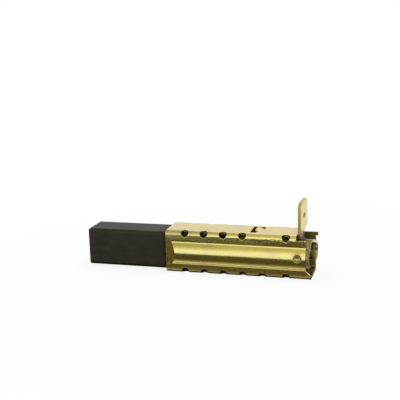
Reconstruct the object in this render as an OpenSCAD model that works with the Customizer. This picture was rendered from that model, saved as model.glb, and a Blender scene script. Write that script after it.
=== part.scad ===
// Carbon brush in a folded sheet-metal holder, as used in small universal motors.
// X runs along the holder: the carbon leaves at -X, the terminal sits at +X.
// Z is up, and the origin is the middle of the holder's flat underside.

/* [Carbon] */
// Length of the carbon block
carbon_len = 32; // [24:0.5:33]
// Thickness of the carbon block, across the wide walls of the holder
carbon_t = 9.5; // [7:0.1:13]
// Height of the carbon block
carbon_h = 10.7; // [9:0.1:15]
// How far the carbon stands out of the mouth
reach = 23.8; // [12:0.2:25]
// Chamfer on the long edges of the carbon
carbon_edge = 0.8; // [0.2:0.1:1.2]
// Chamfer round the contact face
carbon_face_edge = 0.35; // [0.1:0.05:0.8]

/* [Holder] */
// Length of the folded tube
holder_len = 41; // [38:0.5:50]
// Thickness of the sheet
sheet_t = 0.6; // [0.4:0.05:0.8]
// Running clearance between the carbon and each wall
carbon_gap = 0.1; // [0.05:0.01:0.25]
// Inner radius of the long folds
fold_r = 0.6; // [0.3:0.05:1]

/* [Channels] */
// Height of each embossed channel between its feet, measured on the outside
channel_w = 6.1; // [5:0.1:7]
// How far each channel stands out of its wall
channel_rise = 1.5; // [0.8:0.1:2]
// Height of the channel's middle above the middle of the wall, negative when lower
channel_z = -0.3; // [-0.5:0.05:0.5]
// Distance from the mouth to the front foot of the channel
channel_start = 1.8; // [1.5:0.1:6]
// Length of the slope at the front end of the channel
channel_slope = 1.2; // [0.5:0.1:2]
// Radius of the fillets along the feet of the channel
channel_fillet = 0.6; // [0.3:0.05:0.8]

/* [Holes on the folds] */
// Diameter of the punched holes
hole_d = 2.3; // [1.6:0.1:2.6]
// Distance from the mouth to the first hole
hole_first = 5.6; // [4:0.1:6]
// Pitch of the first five holes
hole_pitch = 5.5; // [4.5:0.1:5.6]
// Distance from the fifth hole to the last one
hole_last_gap = 6.6; // [5:0.1:8]

/* [Lock window] */
// Distance from the mouth to the front edge of the window
window_x = 23.8; // [21:0.1:25]
// Length of the window
window_len = 3.4; // [3:0.1:5]
// Width of the window, as a share of the bore
window_share = 0.65; // [0.4:0.01:0.7]
// Width of the slit in front of the tongue
window_slit = 1; // [0.6:0.1:1.4]

/* [Rear end] */
// Length of the top wall cut away at the rear
notch_len = 4; // [3.6:0.05:5]
// How much shorter the near wall is than the floor at the rear
near_short = 1.3; // [0:0.1:2]
// How far the lug on the far wall stands out behind the tube
lug_out = 0.6; // [0.3:0.05:2]
// Height of the lug
lug_h = 0.9; // [0.6:0.1:2]
// Diameter of the stake dimples
dimple_d = 2.3; // [1.6:0.1:2.6]
// Depth of the stake dimples below the crest of the channel
dimple_depth = 1; // [0.5:0.05:1.2]
// Distance from the rear end to the middle of the stake dimples
dimple_back = 3.5; // [3:0.1:4]
// Height of the stake dimples above the channel's middle
dimple_rise = 0.6; // [0:0.1:0.8]
// Height of the small pressed marks by the mouth
mark_h = 2.1; // [1:0.1:3]

/* [Terminal] */
// Thickness of the terminal strip
strip_t = 0.8; // [0.5:0.05:1]
// Width of the push-on blade
blade_w = 6.35; // [4.7:0.05:6.4]
// Height of the blade's tip above the top wall
blade_top = 9.2; // [7:0.1:12]
// Turn of the blade about its own upright axis
blade_turn = 8; // [0:1:12]
// Width of the neck below the blade
neck_w = 3.6; // [3:0.1:4]
// Height of the shoulder above the top wall, at the neck
shoulder_z = 0.7; // [0.5:0.1:3]
// Rise of the shoulder from the neck to the edge of the blade
shoulder_rise = 0.8; // [0.2:0.1:2]
// Length of the chamfers at the tip of the blade
tip_len = 1.1; // [0.6:0.1:2.4]
// Fall of the tip from one chamfer to the other
tip_fall = 0.5; // [0:0.1:1]
// Diameter of the detent hole
detent_d = 1.5; // [1.2:0.05:1.8]
// Distance from the tip to the detent hole
detent_from_tip = 4.4; // [3:0.1:5]
// How far the middle of the saddle stands out behind the tube
saddle_out = 0; // [-0.5:0.1:1]
// Slant of the saddle's rear edge across the tube
saddle_slant = 4.6; // [0:0.2:6]
// Height of the top of the saddle below the top of the tube
saddle_drop = 1.5; // [1.4:0.05:2.5]
// Height of the front plate below the top of the saddle
plate_drop = 0.4; // [0:0.05:1]
// Radius of the saddle's round shoulder, on the near side
saddle_r = 3; // [1.6:0.1:3.4]
// Clearance between the terminal and the tube
terminal_gap = 0.05; // [0.02:0.01:0.1]
// Clearance between the top wall and the terminal behind it
notch_gap = 0.6; // [0.5:0.05:1]

/* [Spring and lead] */
// Diameter of the spring wire
wire_d = 0.5; // [0.3:0.05:0.5]
// How much smaller the spring is than the carbon, across
spring_less = 0.7; // [0.3:0.05:1.5]
// Number of turns of the spring, closed ends included
spring_turns = 9; // [6:1:9]
// Diameter of the stranded lead
lead_d = 1.5; // [1:0.1:1.8]
// Diameter of the tamped plug in the carbon
plug_d = 3.2; // [2.6:0.1:4]
// Depth of the tamped plug
plug_len = 6; // [4:0.5:8]
// Diameter of the welded end of the lead
weld_d = 2.6; // [2:0.1:3]
// Length of the welded end of the lead
weld_len = 1.8; // [1.2:0.1:2.4]

/* [Hidden] */
$fn = 48;

brass = [0.80, 0.74, 0.42];
terminal_brass = [0.86, 0.79, 0.56];
carbon_grey = [0.20, 0.18, 0.16];
steel_grey = [0.62, 0.62, 0.60];
copper = [0.72, 0.43, 0.28];

// Tube section
bore_t = carbon_t + 2 * carbon_gap;
bore_h = carbon_h + 2 * carbon_gap;
holder_t = bore_t + 2 * sheet_t;
holder_h = bore_h + 2 * sheet_t;
fold_out = fold_r + sheet_t;
mid_z = holder_h / 2;
mouth_x = -holder_len / 2;
rear_x = holder_len / 2;

// Channel section: arcs through the feet and the crest
crest_r = (channel_w * channel_w / 4 + channel_rise * channel_rise) / (2 * channel_rise);
crest_y = holder_t / 2 + channel_rise - crest_r;
hollow_r = crest_r - sheet_t;
channel_mid = mid_z + channel_z;
fillet_y = holder_t / 2 + channel_fillet - crest_y;
fillet_z = sqrt(pow(crest_r + channel_fillet, 2) - pow(fillet_y, 2));
fillet_end = [fillet_y, fillet_z] * crest_r / (crest_r + channel_fillet);
slope_step = sheet_t * norm([channel_rise, channel_slope]) / channel_rise;

// Stations along the tube
window_w = window_share * bore_t;
hole_stations = [for (i = [0:4]) mouth_x + hole_first + i * hole_pitch];
last_hole = hole_stations[4] + hole_last_gap;
skipped_hole = 4;
notch_x = rear_x - notch_len;
plate_x = notch_x + notch_gap;
strip_x = plate_x + strip_t / 2;
saddle_end = rear_x + saddle_out;

// Carbon and what is fixed to it
carbon_front = mouth_x - reach;
carbon_rear = carbon_front + carbon_len;
plug_x = carbon_rear - plug_len;

// Dimple: a ball pressed into the crest of the channel
ball_r = (dimple_d * dimple_d / 4 + dimple_depth * dimple_depth) / (2 * dimple_depth);
ball_y = holder_t / 2 + channel_rise - dimple_depth + ball_r;
boss_r = ball_r + sheet_t;
dimple_x = rear_x - dimple_back;
dimple_z = channel_mid + dimple_rise;

// Saddle and legs
saddle_top = holder_h - saddle_drop;
saddle_half = bore_t / 2 - terminal_gap;
leg_r = hollow_r - terminal_gap;
leg_hollow = leg_r - strip_t;
leg_half = channel_w / 2 - 0.4;
leg_lap = 0.5;
neck_lap = 0.6;
plate_z = sheet_t + terminal_gap;
plate_top = saddle_top - plate_drop;
plate_r = min(saddle_r, (plate_top - plate_z) / 2 - 0.1);

// Line of the saddle: round on the near side, then straight down to the top of the far leg
saddle_near = [saddle_r - saddle_half, saddle_top - saddle_r];
saddle_far = [saddle_half, channel_mid + leg_half + 0.3];
saddle_span = saddle_far - saddle_near;
saddle_turn = atan2(saddle_span[1], saddle_span[0]) + acos(saddle_r / norm(saddle_span));
saddle_up = [cos(saddle_turn), sin(saddle_turn)];
saddle_along = [saddle_up[1], -saddle_up[0]];

// Spring: a coil between the carbon and the front plate
spring_d = min(carbon_t, carbon_h) - spring_less;
coil_r = (spring_d - wire_d) / 2;
coil_inner = spring_d / 2 - wire_d;

// Weld on the inside of the far leg, at weld_turn above the channel's middle
weld_turn = 38;
weld_sink = 1.05;
weld_out = 0.4;
weld_gap = 0.04;
weld_dir = [cos(weld_turn), sin(weld_turn)];
weld_at = [crest_y, channel_mid] + (leg_hollow - weld_d / 2 + weld_sink) * weld_dir;
weld_x = saddle_end + weld_at[0] * tan(saddle_slant) + weld_out - weld_len;

// Lead: where it ends in the weld, and where it passes the plate inside the coil
lead_slope = 0.7;
lead_side = (lead_d / 2) * norm([1, lead_slope]);
lead_end = [crest_y, channel_mid] + (leg_hollow - lead_d / 2 - weld_gap) * weld_dir;
lead_off = lead_end - [0, mid_z];
lead_dir = lead_off / norm(lead_off);
seat_r = min(coil_inner - lead_side - 0.1 + lead_slope * strip_t / 2, 0.8 * norm(lead_off));
seat_hole = [0, mid_z] + seat_r * lead_dir;
seat_hole_d = 2 * lead_side + lead_slope * strip_t + 0.3;

// A rounded rectangle w wide and h high, standing on the X axis of the sketch
module rounded_rect(w, h, r) {
    translate([-w / 2 + r, 0])
        square([w - 2 * r, h]);
    translate([-w / 2, r])
        square([w, h - 2 * r]);
    for (x = [-w / 2 + r, w / 2 - r], y = [r, h - r])
        translate([x, y])
            circle(r);
}

// Stands a sketch of the YZ section up and runs it along X from x0 to x1
module along_x(x0, x1) {
    translate([x0, 0, 0])
        rotate([90, 0, 90])
            linear_extrude(x1 - x0)
                children();
}

// Copies a child to the wall at +Y and, mirrored, to the wall at -Y
module both_walls() {
    children();
    mirror([0, 1, 0])
        children();
}

// Outside of one channel in section, with the fillets at its feet
module channel_section() {
    wall_y = holder_t / 2 - crest_y;
    translate([crest_y, channel_mid]) {
        intersection() {
            circle(crest_r);
            translate([wall_y - sheet_t / 2, -crest_r])
                square([crest_r, 2 * crest_r]);
        }
        for (side = [-1, 1])
            scale([1, side])
                difference() {
                    polygon([[0, 0], [wall_y - sheet_t / 2, fillet_z], [wall_y, fillet_z], fillet_end]);
                    translate([fillet_y, fillet_z])
                        circle(channel_fillet);
                }
    }
}

// Hollow of one channel in section, open to the bore
module hollow_section() {
    intersection() {
        translate([crest_y, channel_mid])
            circle(hollow_r);
        translate([bore_t / 2 - sheet_t, 0])
            square([channel_rise + 2 * sheet_t, holder_h]);
    }
}

// Cutter that slopes the front end of the channel, with its foot at x
module front_slope(x) {
    reach_y = 2 * channel_rise + sheet_t;
    translate([x, holder_t / 2, -1])
        linear_extrude(holder_h + 2)
            polygon([[0, 0], [reach_y * channel_slope / channel_rise, reach_y],
                     [-holder_t, reach_y], [-holder_t, -holder_t],
                     [-holder_t * channel_slope / channel_rise, -holder_t]]);
}

// Material of the folded sheet before it is cut
module folded_sheet() {
    along_x(mouth_x, rear_x)
        rounded_rect(holder_t, holder_h, fold_out);
    both_walls()
        difference() {
            along_x(mouth_x, rear_x)
                channel_section();
            front_slope(mouth_x + channel_start);
        }
}

// Bore of the tube with the hollows of the channels
module tube_bore() {
    along_x(mouth_x - 1, rear_x + 1)
        translate([0, sheet_t])
            rounded_rect(bore_t, bore_h, fold_r);
    both_walls()
        difference() {
            along_x(mouth_x, rear_x + 1)
                hollow_section();
            front_slope(mouth_x + channel_start + slope_step);
        }
}

// One hole punched across the fold on the side y_side (-1 or 1), at the top or bottom by z_side
module fold_hole(x, y_side, z_side) {
    translate([x, y_side * (holder_t / 2 - fold_out), mid_z + z_side * (holder_h / 2 - fold_out)])
        rotate([y_side * (45 * z_side - 90), 0, 0])
            cylinder(d = hole_d, h = fold_out + sheet_t);
}

// Cutter for the rear end of the near wall, slanted down to the floor's fold
module near_end() {
    foot_z = channel_mid - channel_w / 2 - 0.3;
    translate([rear_x, fold_r / 2 - bore_t / 2, 0])
        rotate([90, 0, 0])
            linear_extrude(channel_rise + 2)
                polygon([[0, fold_out], [1, fold_out], [1, holder_h + 1], [-near_short, holder_h + 1],
                         [-near_short, foot_z]]);
}

// Small mark pressed into a wall by the mouth
module mouth_mark() {
    translate([mouth_x + 0.3, holder_t / 2 - sheet_t / 3, mid_z - holder_h * 0.2 - mark_h / 2])
        cube([0.6, sheet_t, mark_h]);
}

// Slits that free the slanted tongue of the lock window
module lock_window() {
    tongue_y = window_w * 0.36;
    translate([mouth_x + window_x, 0.15 - window_w / 2, holder_h - sheet_t - 0.2])
        linear_extrude(sheet_t + 0.4) {
            square([window_slit, window_w]);
            square([window_len * 0.52, tongue_y]);
            polygon([[window_len * 0.5, window_w], [window_len, window_w], [window_len, window_w * 0.6]]);
        }
}

module holder_tube() {
    color(brass)
        difference() {
            union() {
                difference() {
                    folded_sheet();
                    tube_bore();
                }
                // Lug on the far wall
                translate([rear_x - lug_h, bore_t / 2, holder_h - fold_out - lug_h])
                    cube([lug_h + lug_out, sheet_t, lug_h]);
                // Inside of the stake dimples
                both_walls()
                    intersection() {
                        translate([dimple_x, ball_y, dimple_z])
                            sphere(boss_r);
                        along_x(dimple_x - boss_r, dimple_x + boss_r)
                            translate([crest_y, channel_mid])
                                circle(crest_r - sheet_t / 2);
                    }
            }
            both_walls()
                translate([dimple_x, ball_y, dimple_z])
                    sphere(ball_r);
            // Notch for the terminal
            translate([notch_x, -holder_t, holder_h - fold_out])
                cube([notch_len + 1, 2 * holder_t, fold_out + 1]);
            for (y_side = [-1, 1], z_side = [-1, 1]) {
                for (i = [0:4])
                    if (!(i == skipped_hole && y_side < 0 && z_side > 0))
                        fold_hole(hole_stations[i], y_side, z_side);
                fold_hole(last_hole, y_side, z_side);
            }
            lock_window();
            near_end();
            both_walls()
                mouth_mark();
        }
}

// Section of the carbon: a rectangle with its four corners cut at 45 degrees
module carbon_section() {
    half_t = carbon_t / 2;
    half_h = carbon_h / 2;
    e = carbon_edge;
    polygon([[e - half_t, -half_h], [half_t - e, -half_h], [half_t, e - half_h], [half_t, half_h - e],
             [half_t - e, half_h], [e - half_t, half_h], [-half_t, half_h - e], [-half_t, e - half_h]]);
}

module carbon_block() {
    edge_side = carbon_face_edge * sqrt(2);
    color(carbon_grey)
        difference() {
            along_x(carbon_front, carbon_rear)
                translate([0, mid_z])
                    carbon_section();
            // Chamfers round the contact face
            for (side = [-1, 1]) {
                translate([carbon_front, side * carbon_t / 2, mid_z])
                    rotate([0, 0, 45])
                        cube([edge_side, edge_side, 2 * carbon_h], center = true);
                translate([carbon_front, 0, mid_z + side * carbon_h / 2])
                    rotate([0, 45, 0])
                        cube([edge_side, 2 * carbon_t, edge_side], center = true);
            }
            // Hole for the tamped lead
            translate([plug_x, 0, mid_z])
                rotate([0, 90, 0])
                    cylinder(d = plug_d, h = 2 * plug_len);
        }
}

module shunt_plug() {
    color(copper)
        translate([plug_x, 0, mid_z])
            rotate([0, 90, 0])
                difference() {
                    cylinder(d = plug_d, h = plug_len);
                    cylinder(d = lead_d + weld_gap, h = 3 * plug_len, center = true);
                }
}

// Tube of round wire swept along a list of points
module swept_wire(points, r, sides) {
    n = len(points);
    function unit(v) = v / norm(v);
    function along(i) = unit(points[min(i + 1, n - 1)] - points[max(i - 1, 0)]);
    function across(i) =
        let (t = along(i), up = abs(t[2]) > 0.9 ? [0, 1, 0] : [0, 0, 1])
        unit(cross(t, up));
    rings = [for (i = [0:n - 1])
        let (u = across(i), v = cross(along(i), u))
        for (k = [0:sides - 1])
            points[i] + r * (cos(360 * k / sides) * u + sin(360 * k / sides) * v)];
    skin = [for (i = [0:n - 2], k = [0:sides - 1])
        [i * sides + k, i * sides + (k + 1) % sides, (i + 1) * sides + (k + 1) % sides,
         (i + 1) * sides + k]];
    caps = [[for (k = [sides - 1:-1:0]) k], [for (k = [0:sides - 1]) (n - 1) * sides + k]];
    polyhedron(rings, concat(skin, caps), convexity = 10);
}

// Coil between the carbon and the front plate of the terminal, with one closed turn at each end
spring_from = carbon_rear + wire_d / 2;
spring_to = plate_x - wire_d / 2;
turn_steps = 30;
closed_rise = wire_d * 1.06;
open_rise = (spring_to - spring_from - 2 * closed_rise) / (spring_turns - 2);
function coil_x(t) =
    t < 1 ? spring_from + t * closed_rise
    : t > spring_turns - 1 ? spring_to - (spring_turns - t) * closed_rise
    : spring_from + closed_rise + (t - 1) * open_rise;

module brush_spring() {
    color(steel_grey)
        swept_wire([for (i = [0:spring_turns * turn_steps])
            let (t = i / turn_steps)
            [coil_x(t), coil_r * cos(360 * t), mid_z + coil_r * sin(360 * t)]], wire_d / 2, 8);
}

// Route of the lead: along the middle of the coil, then through the hole in the plate to the weld
function bent(p, q, pull_p, pull_q, t) =
    (2 * t * t * t - 3 * t * t + 1) * p + (t * t * t - 2 * t * t + t) * pull_p
    + (3 * t * t - 2 * t * t * t) * q + (t * t * t - t * t) * pull_q;

lead_start = [plug_x + 0.3, 0, mid_z];
lead_bend = [plate_x - 8, 0, mid_z];
lead_seat = [strip_x, seat_hole[0], seat_hole[1]];
lead_tip = [weld_x - 0.14, lead_end[0], lead_end[1]];
lead_rise = [1, lead_slope * lead_dir[0], lead_slope * lead_dir[1]];
lead_steps = 10;

module shunt_lead() {
    in_coil = lead_seat[0] - lead_bend[0];
    behind = lead_tip[0] - lead_seat[0];
    run = [for (i = [0:9]) lead_start + (lead_bend - lead_start) * i / 10];
    bend = [for (i = [0:lead_steps - 1])
        bent(lead_bend, lead_seat, [in_coil, 0, 0], in_coil * lead_rise, i / lead_steps)];
    rise = [for (i = [0:lead_steps])
        bent(lead_seat, lead_tip, behind * lead_rise, [behind, 0, 0], i / lead_steps)];
    last = [lead_tip + [0.05, 0, 0], lead_tip + [0.1, 0, 0]];
    color(copper)
        swept_wire(concat(run, bend, rise, last), lead_d / 2, 12);
}

module shunt_weld() {
    color(copper)
        along_x(weld_x, weld_x + weld_len)
            intersection() {
                translate(weld_at)
                    circle(d = weld_d);
                translate([crest_y, channel_mid])
                    circle(leg_hollow - weld_gap);
            }
}

// Blade and neck in their own plane, with the top wall at zero height
module blade_sketch() {
    w = blade_w / 2;
    neck_y = neck_w - w;
    neck_foot = saddle_top - neck_lap - holder_h;
    difference() {
        polygon([[-w, neck_foot], [neck_y, neck_foot], [neck_y, shoulder_z], [w, shoulder_z + shoulder_rise],
                 [w, blade_top - tip_len], [w - tip_len, blade_top], [tip_len - w, blade_top - tip_fall],
                 [-w, blade_top - tip_fall - tip_len]]);
        translate([0, blade_top - detent_from_tip])
            circle(d = detent_d);
    }
}

// Area under the line of the saddle: inset moves the line inward, past runs it on beyond the far leg
module saddle_line(inset, past) {
    r = saddle_r - inset;
    end = saddle_far - inset * saddle_up + past * saddle_along;
    translate(saddle_near)
        circle(r);
    polygon([[inset - saddle_half, plate_z], [inset - saddle_half, saddle_near[1]], saddle_near + r * saddle_up,
             end, [end[0], plate_z]]);
}

// Saddle in section: a strap with a leg formed into each channel
module saddle_section() {
    difference() {
        saddle_line(0, 0);
        saddle_line(strip_t, 1);
        translate([-saddle_half - 1, plate_z - 1])
            square([strip_t + 2, channel_mid + leg_half - leg_lap - plate_z + 1]);
    }
    for (side = [-1, 1])
        scale([side, 1])
            leg_section();
}

// One leg in section: a shell that lies inside the channel
module leg_section() {
    intersection() {
        difference() {
            translate([crest_y, channel_mid])
                circle(leg_r);
            translate([crest_y, channel_mid])
                circle(leg_hollow);
        }
        translate([crest_y + 0.3, channel_mid - leg_half])
            square([crest_r, 2 * leg_half]);
    }
}

module terminal_clip() {
    color(terminal_brass)
        difference() {
            union() {
                // Push-on blade and its neck
                translate([strip_x, 0, holder_h])
                    rotate([0, 0, -blade_turn])
                        along_x(-strip_t / 2, strip_t / 2)
                            blade_sketch();
                // Front plate, the seat of the spring
                along_x(plate_x, plate_x + strip_t)
                    translate([0, plate_z])
                        rounded_rect(2 * saddle_half, plate_top - plate_z, plate_r);
                // Saddle
                along_x(plate_x, saddle_end + 1)
                    saddle_section();
            }
            // Slanted rear edge of the saddle
            translate([saddle_end, 0, 0])
                rotate([0, 0, -saddle_slant])
                    translate([0, -holder_t, 0])
                        cube([holder_t, 2 * holder_t, holder_h]);
            // Passage for the lead
            translate([plate_x - 1, seat_hole[0], seat_hole[1]])
                rotate([0, 90, 0])
                    cylinder(d = seat_hole_d, h = strip_t + 2);
            // Seats of the stake dimples
            both_walls()
                translate([dimple_x, ball_y, dimple_z])
                    sphere(boss_r + terminal_gap);
        }
}

holder_tube();
carbon_block();
brush_spring();
shunt_lead();
shunt_plug();
shunt_weld();
terminal_clip();
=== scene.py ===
import math
from collections import namedtuple

import bpy
from mathutils import Matrix, Vector, noise


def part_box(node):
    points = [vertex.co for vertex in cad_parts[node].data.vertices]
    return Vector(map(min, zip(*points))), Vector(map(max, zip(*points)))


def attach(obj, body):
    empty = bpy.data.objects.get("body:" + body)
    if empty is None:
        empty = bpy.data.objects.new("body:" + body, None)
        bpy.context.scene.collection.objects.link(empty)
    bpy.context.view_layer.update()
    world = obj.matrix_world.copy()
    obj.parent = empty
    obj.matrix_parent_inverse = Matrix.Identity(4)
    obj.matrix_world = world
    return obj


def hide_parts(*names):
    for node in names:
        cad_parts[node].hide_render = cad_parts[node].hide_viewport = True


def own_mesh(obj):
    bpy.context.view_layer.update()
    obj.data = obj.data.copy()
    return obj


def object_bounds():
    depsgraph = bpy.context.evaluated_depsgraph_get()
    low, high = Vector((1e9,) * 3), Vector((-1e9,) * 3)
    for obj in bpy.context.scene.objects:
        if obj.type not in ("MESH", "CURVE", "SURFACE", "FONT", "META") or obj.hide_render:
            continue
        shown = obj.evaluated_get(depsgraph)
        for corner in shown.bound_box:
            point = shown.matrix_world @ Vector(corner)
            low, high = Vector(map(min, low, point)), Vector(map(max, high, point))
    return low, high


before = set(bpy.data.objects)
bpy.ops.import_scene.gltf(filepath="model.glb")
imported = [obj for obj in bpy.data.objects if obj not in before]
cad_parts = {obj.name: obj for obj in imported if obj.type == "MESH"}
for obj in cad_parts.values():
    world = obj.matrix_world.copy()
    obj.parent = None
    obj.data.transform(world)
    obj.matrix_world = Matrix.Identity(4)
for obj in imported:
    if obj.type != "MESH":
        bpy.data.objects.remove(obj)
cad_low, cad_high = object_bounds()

MM = 0.001

# Marks on the brass, with a centre and a reach along each axis in millimetres. Stains hold real marks and
# painted shade. Dullness is how much of a stain is a film that isn't metal. Depth is the dents' weight in
# the relief, where the rolling has 0.5.
StainAndShade = namedtuple("StainAndShade", "centre reach colour dullness")
Dents = namedtuple("Dents", "centre reach depth")


def rgba(red, green, blue):
    return (red, green, blue, 1.0)


WHITE = rgba(1, 1, 1)


# ---------------------------------------------------------------- shader building

class Nodes:
    """The node tree of a material or a world, built with short calls."""

    def __init__(self, owner, output):
        owner.use_nodes = True
        self.owner = owner
        self.tree = owner.node_tree
        self.tree.nodes.clear()
        self.output = self.add(output)

    def add(self, kind, settings=None, inputs=None):
        node = self.tree.nodes.new(kind)
        for key, value in (settings or {}).items():
            setattr(node, key, value)
        for key, value in (inputs or {}).items():
            self.feed(node.inputs[key], value)
        return node

    def feed(self, socket, value):
        if isinstance(value, bpy.types.NodeSocket):
            self.tree.links.new(value, socket)
        else:
            socket.default_value = value

    def surface(self, shader):
        """Ends the tree with a shader node and gives its material or world."""
        self.feed(self.output.inputs["Surface"], shader.outputs[0])
        return self.owner

    def calc(self, operation, a, b, clamp=False):
        settings = {"operation": operation, "use_clamp": clamp}
        return self.add("ShaderNodeMath", settings, {0: a, 1: b}).outputs[0]

    def times(self, a, b):
        return self.calc("MULTIPLY", a, b)

    def total(self, first, *others):
        for other in others:
            first = self.calc("ADD", first, other)
        return first

    def span(self, value, low, high, to_low=0.0, to_high=1.0):
        """Takes low..high to to_low..to_high, smoothly and no further."""
        made = self.add("ShaderNodeMapRange", {"interpolation_type": "SMOOTHSTEP"}, {
            "Value": value, "From Min": low, "From Max": high, "To Min": to_low, "To Max": to_high})
        return made.outputs["Result"]

    def blend(self, share, a, b):
        made = self.add("ShaderNodeMix", {"data_type": "RGBA"}, {"Factor": share, "A": a, "B": b})
        return made.outputs["Result"]

    def vector(self, operation, a, b=(0, 0, 0)):
        return self.add("ShaderNodeVectorMath", {"operation": operation}, {0: a, 1: b}).outputs

    def millimetres(self, turn=(0, 0, 0)):
        """The place on the object at rest, in millimetres, turned by three angles in degrees."""
        place = self.add("ShaderNodeTexCoord").outputs["Object"]
        turned = self.add("ShaderNodeMapping", inputs={
            "Vector": place, "Rotation": [math.radians(angle) for angle in turn], "Scale": (1 / MM,) * 3})
        return turned.outputs["Vector"]

    def grain(self, place, per_mm, detail, rough=0.5, distortion=0.0):
        """Noise with its own fineness along each axis."""
        made = self.add("ShaderNodeTexNoise", inputs={
            "Vector": self.vector("MULTIPLY", place, per_mm)[0], "Scale": 1.0, "Detail": detail,
            "Roughness": rough, "Distortion": distortion})
        return made.outputs["Fac"]

    def spot(self, place, mark, shift=None):
        """1 near a mark's centre and 0 from its reach on. The shift makes its border ragged."""
        offset = self.vector("SUBTRACT", place, mark.centre)[0]
        away = self.vector("LENGTH", self.vector("DIVIDE", offset, mark.reach)[0])["Value"]
        if shift is not None:
            away = self.total(away, shift)
        return self.span(away, 1.0, 0.35)

    def crevice(self, distance):
        """Near 0 in narrow corners and 1 on open faces."""
        made = self.add("ShaderNodeAmbientOcclusion", {"samples": 6}, {"Distance": distance})
        return made.outputs["AO"]

    def rounded(self, radius):
        """Surface normal with its sharp edges rounded."""
        return self.add("ShaderNodeBevel", {"samples": 6}, {"Radius": radius}).outputs["Normal"]

    def edge(self, radius):
        """Near 1 along the edges and 0 on the faces."""
        true = self.add("ShaderNodeNewGeometry").outputs["Normal"]
        same = self.vector("DOT_PRODUCT", true, self.rounded(radius))["Value"]
        return self.span(same, 0.995, 0.8)

    def relief(self, height, distance, strength, normal=None):
        made = self.add("ShaderNodeBump", inputs={
            "Height": height, "Distance": distance, "Strength": strength})
        if normal is not None:
            self.feed(made.inputs["Normal"], normal)
        return made.outputs["Normal"]

    def seen_rays(self):
        """1 for the rays that see the background: from the camera, by reflection or through glass."""
        path = self.add("ShaderNodeLightPath").outputs
        seen = self.calc("MAXIMUM", path["Is Camera Ray"], path["Is Glossy Ray"])
        return self.calc("MAXIMUM", seen, path["Is Transmission Ray"])


def material(name):
    return Nodes(bpy.data.materials.new(name), "ShaderNodeOutputMaterial")


# ---------------------------------------------------------------- materials

BRASS_DUST_AND_SHADE = rgba(0.030, 0.022, 0.014)  # carbon dust and painted shade on what is enclosed
STAIN_AND_SHADE_COVER = 0.92  # share of the brass that a stain or painted shade mark hides at its middle
DULLED = 0.3  # roughness that a full film or full dust adds
# painted shade for the copper's narrow crevices
COPPER_CREVICE_SHADE = rgba(0.05, 0.02, 0.012)

def brass(name, light, warm, dark, stains_and_shade, dents, dust_and_shade, rough, edge_radius):
    """Rolled brass: lines along X, soft patches of warmer metal, pits, nicks, rounded edges, carbon dust and
    painted shade on all that is enclosed, stains, painted shade marks and dents."""
    s = material(name)
    place = s.millimetres()
    rolled = s.grain(place, (0.06, 11, 11), detail=3)
    hair = s.grain(place, (0.25, 45, 45), detail=1)
    patch = s.grain(place, (0.16, 0.3, 0.3), detail=4, rough=0.6)
    mottle = s.grain(place, (1.6, 2.2, 2.2), detail=3, rough=0.65)
    pits = s.grain(place, (6, 7, 7), detail=1)
    nicks = s.grain(s.millimetres(turn=(24, 31, 17)), (0.18, 7, 7), detail=1, rough=0.4, distortion=0.3)
    nick = s.span(nicks, 0.70, 0.76)

    colour = s.blend(s.span(patch, 0.42, 0.68), light, warm)
    colour = s.blend(s.span(mottle, 0.62, 0.8, 0.0, 0.35), colour, warm)
    colour = s.blend(s.span(pits, 0.7, 0.78, 0.0, 0.5), colour, dark)

    openness = s.total(s.crevice(distance=3.5 * MM), s.span(mottle, 0.2, 0.8, -0.06, 0.06))
    # dust is carbon dust and painted shade, darker where the brass is enclosed
    dust = s.span(openness, 0.62, 0.36)
    colour = s.blend(s.times(dust, dust_and_shade), colour, BRASS_DUST_AND_SHADE)

    film = 0.0
    for mark in stains_and_shade:
        stain_and_shade = s.times(s.spot(place, mark, s.span(mottle, 0.2, 0.8, -0.22, 0.22)), STAIN_AND_SHADE_COVER)
        colour = s.blend(stain_and_shade, colour, mark.colour)
        film = s.calc("MAXIMUM", film, s.times(stain_and_shade, mark.dullness))

    roughness = s.total(
        s.span(rolled, 0.3, 0.7, rough - 0.05, rough + 0.06), s.span(mottle, 0.45, 0.75, 0.0, 0.07),
        s.times(nick, 0.06), s.times(film, DULLED))
    roughness = s.calc("ADD", roughness, s.times(dust, DULLED), clamp=True)

    height = s.total(s.times(rolled, 0.5), s.times(hair, 0.25))
    height = s.calc("SUBTRACT", height, s.times(nick, 0.25))
    height = s.total(height, s.times(mottle, 0.4))
    for mark in dents:
        dent = s.times(s.grain(place, (1.3, 1.9, 1.9), detail=2), s.spot(place, mark))
        height = s.total(height, s.times(dent, mark.depth))

    return s.surface(s.add("ShaderNodeBsdfPrincipled", inputs={
        "Base Color": colour, "Metallic": s.calc("SUBTRACT", 1.0, film), "Roughness": roughness,
        "Normal": s.relief(height, distance=0.012 * MM, strength=0.4, normal=s.rounded(edge_radius))}))


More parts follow.
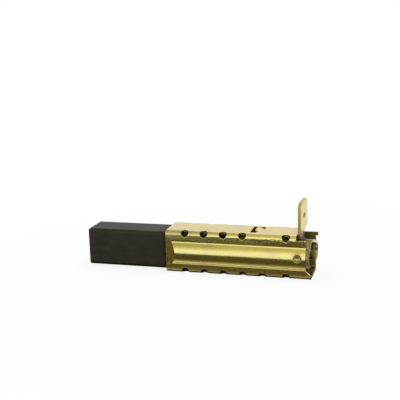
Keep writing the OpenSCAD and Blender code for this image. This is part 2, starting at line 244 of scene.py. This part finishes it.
def carbon():
    """Ground carbon: dark and matte, with fine grinding lines, speckle, pale worn edges and a few
    scratches. Where it is enclosed it loses its shine, as painted shade."""
    s = material("carbon_ground")
    place = s.millimetres()
    ground = s.grain(place, (0.12, 9, 9), detail=2)
    speck = s.grain(place, (9, 9, 9), detail=2, rough=0.7)
    cloud = s.grain(place, (0.25, 0.5, 0.5), detail=4, rough=0.6)
    scratches = s.grain(
        s.millimetres(turn=(0, 0, 38)), (0.12, 4.5, 4.5), detail=1, rough=0.4, distortion=0.5)
    scratch = s.span(scratches, 0.72, 0.75)
    # painted shade: enclosed carbon turns metallic on its dark colour and loses its shine
    enclosed_shade = s.span(s.crevice(distance=3 * MM), 0.92, 0.6)

    dark, grey = rgba(0.0105, 0.0078, 0.0052), rgba(0.018, 0.0142, 0.0105)
    pale, dust = rgba(0.075, 0.067, 0.058), rgba(0.05, 0.043, 0.036)
    colour = s.blend(s.span(cloud, 0.35, 0.7), dark, grey)
    colour = s.blend(s.span(speck, 0.62, 0.8, 0.0, 0.5), colour, dust)
    colour = s.blend(s.times(scratch, 0.5), colour, pale)
    colour = s.blend(s.times(s.edge(radius=0.16 * MM), 0.65), colour, pale)

    roughness = s.calc("ADD", s.span(ground, 0.3, 0.7, 0.44, 0.58), s.times(enclosed_shade, 0.4), clamp=True)
    height = s.total(s.times(ground, 0.7), s.times(speck, 0.8))
    height = s.calc("SUBTRACT", height, s.times(scratch, 0.8))
    return s.surface(s.add("ShaderNodeBsdfPrincipled", inputs={
        "Base Color": colour, "Metallic": s.times(enclosed_shade, 0.8), "Roughness": roughness, "IOR": 1.58,
        "Specular Tint": rgba(1.0, 0.93, 0.85),
        "Normal": s.relief(height, distance=0.015 * MM, strength=0.8, normal=s.rounded(0.1 * MM))}))


def copper(name, bright, brown, rough, metal=1.0, powder=False):
    """Bare copper with browned patches and painted shade in its narrow crevices. Powder is the tamped
    filling of the carbon.
    """
    s = material(name)
    place = s.millimetres()
    grit_per_mm, grit_depth = ((14, 14, 14), 0.05 * MM) if powder else ((1.2, 26, 26), 0.015 * MM)
    grit = s.grain(place, grit_per_mm, detail=3, rough=0.65)
    patch = s.grain(place, (0.9, 1.1, 1.1), detail=4, rough=0.6)
    colour = s.blend(s.span(patch, 0.35, 0.65), bright, brown)
    # painted shade, darker in narrow crevices
    crevice_shade = s.span(s.crevice(distance=0.5 * MM), 0.8, 0.3, 0.0, 0.7)
    colour = s.blend(crevice_shade, colour, COPPER_CREVICE_SHADE)
    return s.surface(s.add("ShaderNodeBsdfPrincipled", inputs={
        "Base Color": colour, "Metallic": metal,
        "Roughness": s.span(grit, 0.3, 0.7, rough - 0.06, rough + 0.12),
        "Normal": s.relief(grit, distance=grit_depth, strength=0.9)}))


def steel():
    """Drawn spring wire."""
    s = material("spring_wire_drawn")
    place = s.millimetres()
    drawn = s.grain(place, (7, 7, 7), detail=3, rough=0.6)
    patch = s.grain(place, (0.5, 0.7, 0.7), detail=3)
    colour = s.blend(s.span(patch, 0.35, 0.7), rgba(0.46, 0.45, 0.43), rgba(0.30, 0.28, 0.25))
    return s.surface(s.add("ShaderNodeBsdfPrincipled", inputs={
        "Base Color": colour, "Metallic": 1.0, "Roughness": s.span(drawn, 0.3, 0.7, 0.24, 0.38),
        "Normal": s.relief(drawn, distance=0.01 * MM, strength=0.6)}))


# ---------------------------------------------------------------- meshes

def link(made):
    bpy.context.scene.collection.objects.link(made)
    return made


def make_object(name, points, faces, look, smooth=True):
    mesh = bpy.data.meshes.new(name)
    mesh.from_pydata([tuple(point) for point in points], [], faces)
    mesh.materials.append(look)
    for face in mesh.polygons:
        face.use_smooth = smooth
    mesh.validate()
    return link(bpy.data.objects.new(name, mesh))


def make_sheet(name, corners, look):
    return make_object(name, corners, [(0, 1, 2, 3)], look, smooth=False)


def around(turn):
    """The cosine and sine of a number of turns."""
    return math.cos(2 * math.pi * turn), math.sin(2 * math.pi * turn)


def skinned(rings, sides):
    """Faces of a closed body with a number of rings of points, each with the same number of sides."""
    faces = []
    for i in range(rings - 1):
        for k in range(sides):
            a, b = i * sides + k, i * sides + (k + 1) % sides
            faces.append((a, b, b + sides, a + sides))
    last = (rings - 1) * sides
    return faces + [tuple(reversed(range(sides))), tuple(range(last, last + sides))]


def frames_along(path):
    """Two crosswise directions at each point, carried along without twist."""
    ends = zip([path[0]] + path[:-1], path[1:] + [path[-1]])
    tangents = [(after - before).normalized() for before, after in ends]
    across = tangents[0].orthogonal().normalized()
    made = []
    for tangent in tangents:
        across = (across - tangent * across.dot(tangent)).normalized()
        made.append((across, tangent.cross(across)))
    return made


def tube(path, radius, sides):
    """Points and faces of a closed round tube."""
    points = []
    for place, (u, v) in zip(path, frames_along(path)):
        for k in range(sides):
            cos, sin = around(k / sides)
            points.append(place + radius * (cos * u + sin * v))
    return points, skinned(len(path), sides)


def joined(parts):
    """Several point and face lists as one."""
    points, faces = [], []
    for some_points, some_faces in parts:
        base = len(points)
        points += some_points
        faces += [tuple(base + i for i in face) for face in some_faces]
    return points, faces


# ---------------------------------------------------------------- spring

spring_low, spring_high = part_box("brush_spring")
SPRING_MIDDLE = (spring_low + spring_high) / 2
WIRE = 0.5 * MM
WIRE_SIDES = 12
TURNS = 9
STEPS_PER_TURN = 56
CLOSED_PITCH = 1.06 * WIRE  # of the turn at each end


def shortens(piece):
    """Gives its own mesh to a piece that shortens towards its rear end as the carbon slides in."""
    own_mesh(piece)


def build_spring(look):
    """Coil of round wire with a closed turn at each end, in the place of its CAD solid."""
    coil = (spring_high.z - spring_low.z - WIRE) / 2
    start, end = spring_low.x + WIRE / 2, spring_high.x - WIRE / 2
    pitch = (end - start - 2 * CLOSED_PITCH) / (TURNS - 2)

    def along(turn):
        if turn < 1:
            return start + turn * CLOSED_PITCH
        if turn > TURNS - 1:
            return end - (TURNS - turn) * CLOSED_PITCH
        return start + CLOSED_PITCH + (turn - 1) * pitch

    path = []
    for i in range(TURNS * STEPS_PER_TURN + 1):
        turn = i / STEPS_PER_TURN
        cos, sin = around(turn)
        path.append(Vector((along(turn), SPRING_MIDDLE.y + coil * cos, SPRING_MIDDLE.z + coil * sin)))
    spring = make_object("spring_coil", *tube(path, WIRE / 2, WIRE_SIDES), look)
    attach(spring, "holder")
    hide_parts("brush_spring")
    shortens(spring)


# ---------------------------------------------------------------- stranded lead

# The route repeats the CAD lead's: straight along the spring's axis to the bend, through its hole in the
# front plate and up to the weld.
BEND_X = 9.1 * MM
PLATE_HOLE = Vector((17.5, 3.126, 6.545)) * MM
TIP = Vector((19.346, 4.369, 6.742)) * MM
RISE = 0.7  # how far the lead rises per length along X where it crosses the plate
STRAIGHT_STEPS, BEND_STEPS, TIP_STEPS = 100, 40, 14

LEAD_RADIUS = 0.75 * MM
STRAND_RADIUS = 0.34 * LEAD_RADIUS
STRAND_RING = 0.66 * LEAD_RADIUS
STRAND_SIDES = 8
TWIST_LENGTH = 6.5 * MM
OUTER_STRANDS = 6


def bent(p, q, pull_p, pull_q, t):
    """A point on the smooth curve from p to q that leaves along pull_p and arrives along pull_q."""
    return ((2 * t ** 3 - 3 * t ** 2 + 1) * p + (t ** 3 - 2 * t ** 2 + t) * pull_p
            + (3 * t ** 2 - 2 * t ** 3) * q + (t ** 3 - t ** 2) * pull_q)


def lead_route():
    """The lead's middle line, from inside the carbon through the plate to the weld."""
    low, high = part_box("shunt_lead")
    axis_z = SPRING_MIDDLE.z
    ahead = Vector((1, 0, 0))
    rising = ahead + RISE * Vector((0, PLATE_HOLE.y, PLATE_HOLE.z - axis_z)).normalized()
    bend = Vector((BEND_X, 0, axis_z))
    inside, behind = PLATE_HOLE.x - BEND_X, TIP.x - PLATE_HOLE.x
    route = [Vector((low.x + (BEND_X - low.x) * i / STRAIGHT_STEPS, 0, axis_z))
             for i in range(STRAIGHT_STEPS)]
    route += [bent(bend, PLATE_HOLE, inside * ahead, inside * rising, i / BEND_STEPS)
              for i in range(BEND_STEPS)]
    route += [bent(PLATE_HOLE, TIP, behind * rising, behind * ahead, i / TIP_STEPS)
              for i in range(TIP_STEPS + 1)]
    return route + [Vector((high.x, TIP.y, TIP.z))]


def strands(route, first, last):
    """Outer strands twisted round a middle one, over the points first to last of the route."""
    crosswise = frames_along(route)
    lengths = [0.0]
    for before, after in zip(route, route[1:]):
        lengths.append(lengths[-1] + (after - before).length)
    paths = [route[first:last]]
    for k in range(OUTER_STRANDS):
        path = []
        for i in range(first, last):
            u, v = crosswise[i]
            cos, sin = around(lengths[i] / TWIST_LENGTH + k / OUTER_STRANDS)
            path.append(route[i] + STRAND_RING * (cos * u + sin * v))
        paths.append(path)
    return joined([tube(path, STRAND_RADIUS, STRAND_SIDES) for path in paths])


def build_lead(look):
    """The lead in two pieces, both with the holder: the part inside the coil, which gets its own mesh, and
    its end behind the plate.
    """
    route = lead_route()
    cut = min(range(len(route)), key=lambda i: abs(route[i].x - spring_high.x))
    inner = make_object("lead_inside_coil", *strands(route, 0, cut + 1), look)
    outer = make_object("lead_behind_plate", *strands(route, cut, len(route)), look)
    for piece in (inner, outer):
        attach(piece, "holder")
    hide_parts("shunt_lead")
    shortens(inner)


# ---------------------------------------------------------------- weld

# The CAD weld's section is where two circles overlap, the lump's own and the hollow of the far leg. Each has
# a centre and a radius.
WELD_CIRCLES = (
    (Vector((0, 4.794, 7.074)) * MM, 1.3 * MM),
    (Vector((0, 3.099, 5.75)) * MM, 2.36 * MM))
WELD_MIDDLE = Vector((0, 4.35, 6.85)) * MM
WELD_RINGS, WELD_SIDES = 27, 36
WELD_END = 0.55 * MM  # length over which each end closes
WELD_TIP, WELD_SWELL = 0.02, 0.97  # share of the section at each end, and how much comes to it
WELD_LUMPS = 0.06  # how much of its reach the lumps take up
LUMPS_ALONG, LUMPS_AROUND = 3.1, 2.2  # steps of noise over the length and over the radius


def build_weld(look):
    """Lump of fused strands, flattened against the far leg and inside its CAD solid."""
    low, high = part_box("shunt_weld")
    length = high.x - low.x

    def reach(direction):
        """Distance from the middle to the nearer of the two circles."""
        found = []
        for centre, radius in WELD_CIRCLES:
            offset = WELD_MIDDLE - centre
            b = offset.dot(direction)
            found.append(-b + math.sqrt(b * b - offset.length_squared + radius * radius))
        return min(found)

    points = []
    for i in range(WELD_RINGS):
        t = i / (WELD_RINGS - 1)
        end = min(1.0, min(t, 1 - t) * length / WELD_END)
        full = WELD_SWELL * math.sqrt(1 - (1 - end) ** 2) + WELD_TIP
        for k in range(WELD_SIDES):
            cos, sin = around(k / WELD_SIDES)
            direction = Vector((0, cos, sin))
            found = noise.noise(Vector((LUMPS_ALONG * t, LUMPS_AROUND * cos, LUMPS_AROUND * sin)))
            lump = min(1.0, max(-1.0, 2 * found))
            r = reach(direction) * full * (1 - WELD_LUMPS + WELD_LUMPS * lump)
            points.append(Vector((low.x + t * length, 0, 0)) + WELD_MIDDLE + r * direction)
    weld = make_object("weld_lump", points, skinned(WELD_RINGS, WELD_SIDES), look)
    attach(weld, "holder")
    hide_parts("shunt_weld")


# ---------------------------------------------------------------- studio

FLOOR_HALF = 1.5
FLOOR_GAP = 0.02 * MM
BACKDROP_FROM, BACKDROP_TO = 0.05, 0.12  # distance from the middle where the floor turns into the backdrop
BACKDROP_LEAST = 0.88  # share of the backdrop in the floor beside the object
LENS, SENSOR_WIDTH = 72, 36
CAMERA_PLACE = Vector((49.54, -211.77, 69.88)) * MM
CAMERA_TURN = (16.11, 12.74, -1.52)  # azimuth, elevation and roll in degrees
WORLD_LIGHT = 0.6
REAR_FROM, REAR_TO = 0.41, 0.49  # share of a card's width where its rear part begins


def build_floor():
    """Pale floor with a faint shadow near the object, which turns into the plain backdrop further off."""
    s = material("floor_pale")
    place = s.add("ShaderNodeTexCoord").outputs["Object"]
    away = s.vector("LENGTH", place)["Value"]
    backdrop = s.span(away, BACKDROP_FROM, BACKDROP_TO, BACKDROP_LEAST, 1.0)
    share = s.times(s.seen_rays(), backdrop)
    matte = s.add("ShaderNodeBsdfDiffuse", inputs={"Color": rgba(0.9, 0.9, 0.9)})
    white = s.add("ShaderNodeEmission", inputs={"Color": WHITE, "Strength": 1.0})
    look = s.surface(s.add("ShaderNodeMixShader", inputs={
        0: share, 1: matte.outputs[0], 2: white.outputs[0]}))
    corners = [(x * FLOOR_HALF, y * FLOOR_HALF, 0) for x, y in ((-1, -1), (1, -1), (1, 1), (-1, 1))]
    floor = make_sheet("floor", corners, look)
    floor.location.z = cad_low.z - FLOOR_GAP


def build_card(name, corner, width, along, start, end, rear=1.0):
    """A studio card that only reflections see, shaded from its start to its end. It is wide along X, and
    its part towards +X is rear times as bright. Sizes are in metres."""
    s = material(name + "_shade")
    place = s.add("ShaderNodeTexCoord").outputs["Object"]
    part = s.add("ShaderNodeSeparateXYZ", inputs={0: place}).outputs
    look = s.surface(s.add("ShaderNodeEmission", inputs={
        "Color": s.blend(s.span(part["Y"], 0, 1), start, end),
        "Strength": s.span(part["X"], REAR_FROM, REAR_TO, 1.0, rear)}))
    card = make_sheet(name, [(0, 0, 0), (1, 0, 0), (1, 1, 0), (0, 1, 0)], look)
    across, along = Vector((width, 0, 0)), Vector(along)
    placed = Matrix((across, along, across.cross(along).normalized())).transposed().to_4x4()
    placed.translation = corner
    card.matrix_world = placed
    for rays in ("camera", "diffuse", "transmission", "shadow"):
        setattr(card, "visible_" + rays, False)


def build_cards():
    """Dim cards on the floor before, under and behind the object, a canopy above it and a pale wall
    behind. They stand for the surroundings that the brass mirrors in the photograph."""
    dim, middle, foot, back = (
        rgba(0.088, 0.068, 0.022), rgba(0.55, 0.50, 0.30), rgba(0.42, 0.39, 0.23), rgba(0.30, 0.27, 0.18))
    build_card("card_far", (-0.16, -0.088, 0), 0.28, (0, 0.041, 0), middle, dim)
    build_card("card_near", (-0.16, -0.047, 0), 0.28, (0, 0.0375, 0), dim, dim)
    build_card("card_foot", (-0.16, -0.0095, 0), 0.28, (0, 0.0033, 0), dim, foot)
    build_card("card_below", (-0.16, -0.0056, 0), 0.28, (0, 0.0151, 0), dim, dim)
    build_card("card_back", (-0.14, 0.0095, 0), 0.16, (0, 0.09, 0), back, back)
    pale, olive, dark = rgba(0.8, 0.78, 0.62), rgba(0.40, 0.37, 0.19), rgba(0.30, 0.27, 0.15)
    build_card("canopy_front", (-0.35, -0.19, 0.12), 0.7, (0, 0.14, 0), pale, olive, rear=1.45)
    build_card("canopy_back", (-0.35, -0.05, 0.12), 0.7, (0, 0.16, 0), olive, dark, rear=1.45)
    rosy_low, rosy_high = rgba(0.84, 0.79, 0.79), rgba(0.78, 0.73, 0.72)
    build_card("wall_back", (-0.5, 0.25, 0.01), 1.0, (0, 0, 0.2), rosy_low, rosy_high)


def build_world():
    """A plain level of light, which is white where it is seen."""
    s = Nodes(bpy.data.worlds.new("studio"), "ShaderNodeOutputWorld")
    light = s.add("ShaderNodeBackground", inputs={"Color": WHITE, "Strength": WORLD_LIGHT})
    white = s.add("ShaderNodeBackground", inputs={"Color": WHITE, "Strength": 1.0})
    bpy.context.scene.world = s.surface(s.add("ShaderNodeMixShader", inputs={
        0: s.seen_rays(), 1: light.outputs[0], 2: white.outputs[0]}))


def build_lamp(name, place, size, power):
    """A soft lamp aimed at the object, not seen in reflections."""
    light = bpy.data.lights.new(name, "AREA")
    light.shape = "RECTANGLE"
    light.size, light.size_y = size
    light.energy = power
    lamp = link(bpy.data.objects.new(name, light))
    lamp.location = place
    lamp.rotation_euler = (-Vector(place)).to_track_quat("-Z", "Y").to_euler()
    lamp.visible_glossy = False


def build_camera():
    """The photograph's point of view, with the small roll that its picture has."""
    azimuth, elevation, roll = (math.radians(angle) for angle in CAMERA_TURN)
    right = Vector((math.cos(azimuth), math.sin(azimuth), 0))
    ahead = Vector((-math.sin(azimuth) * math.cos(elevation), math.cos(azimuth) * math.cos(elevation),
                    -math.sin(elevation)))
    up = right.cross(ahead)
    rolled_right = math.cos(roll) * right + math.sin(roll) * up
    rolled_up = math.cos(roll) * up - math.sin(roll) * right
    data = bpy.data.cameras.new("camera")
    data.sensor_width, data.lens = SENSOR_WIDTH, LENS
    data.clip_start, data.clip_end = 0.01, 10
    camera = link(bpy.data.objects.new("camera", data))
    turned = Matrix((rolled_right, rolled_up, -ahead)).transposed().to_4x4()
    turned.translation = CAMERA_PLACE
    camera.matrix_world = turned
    bpy.context.scene.camera = camera


# ---------------------------------------------------------------- the object

def repaint(node, look):
    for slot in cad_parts[node].material_slots:
        slot.material = look


repaint("holder_tube", brass(
    "brass_sheet_rolled",
    light=rgba(0.90, 0.82, 0.33), warm=rgba(0.86, 0.71, 0.36), dark=rgba(0.42, 0.31, 0.10),
    stains_and_shade=[
        # darker brown on the far wall round the weld
        StainAndShade((20.8, 5.0, 8.8), (7.5, 7.5, 7.5), rgba(0.115, 0.082, 0.028), 0.15),
        # round the near stake dimple
        StainAndShade((17.0, -6.4, 6.7), (1.7, 2.4, 1.7), rgba(0.40, 0.35, 0.13), 0.1),
        # painted shade along the near lower fold
        StainAndShade((1, -5.6, 0.1), (34, 1.7, 1.9), rgba(0.27, 0.21, 0.08), 0.12),
        # dulled near upper fold beside the mouth
        StainAndShade((-20, -5.0, 11.6), (13, 1.9, 2.2), rgba(0.62, 0.57, 0.28), 0.2)],
    # the upper fold near the tab and the top wall beside the mouth
    dents=[Dents((12.5, -5.4, 11.6), (10, 2.2, 2.6), 22), Dents((-17.5, -3, 12.1), (5.5, 4, 2), 16)],
    dust_and_shade=0.97, rough=0.17, edge_radius=0.12 * MM))
repaint("terminal_clip", brass(
    "terminal_strip_rolled",
    light=rgba(0.74, 0.67, 0.25), warm=rgba(0.72, 0.59, 0.31), dark=rgba(0.30, 0.22, 0.10),
    stains_and_shade=[
        # rim of the near leg
        StainAndShade((22, -6, 6), (4.4, 9, 34), rgba(0.17, 0.125, 0.07), 0.5),
        # far leg, round the weld
        StainAndShade((21.5, 5.0, 5.0), (2.1, 4.2, 6.5), rgba(0.68, 0.54, 0.27), 0.45),
        # painted shade at the foot of the blade
        StainAndShade((18.2, -0.5, 11.1), (2.8, 5.5, 2.1), rgba(0.10, 0.072, 0.028), 0.15)],
    dents=[], dust_and_shade=0.9, rough=0.27, edge_radius=0.4 * MM))
repaint("carbon_block", carbon())
repaint("shunt_plug", copper(
    "copper_powder", bright=rgba(0.42, 0.22, 0.13), brown=rgba(0.20, 0.10, 0.06), rough=0.55, powder=True))

build_spring(steel())
build_lead(copper(
    "copper_strands", bright=rgba(0.62, 0.30, 0.17), brown=rgba(0.36, 0.16, 0.09), rough=0.32))
build_weld(copper(
    "copper_weld", bright=rgba(0.56, 0.42, 0.25), brown=rgba(0.17, 0.11, 0.06), rough=0.38, metal=0.6))

build_floor()
build_cards()
build_world()
build_lamp("lamp_above", place=(-0.06, 0.05, 0.27), size=(0.25, 0.25), power=0.34)
build_lamp("lamp_front", place=(0.12, -0.30, 0.16), size=(0.20, 0.12), power=0.16)
build_camera()
bpy.context.scene.view_settings.view_transform = "Standard"
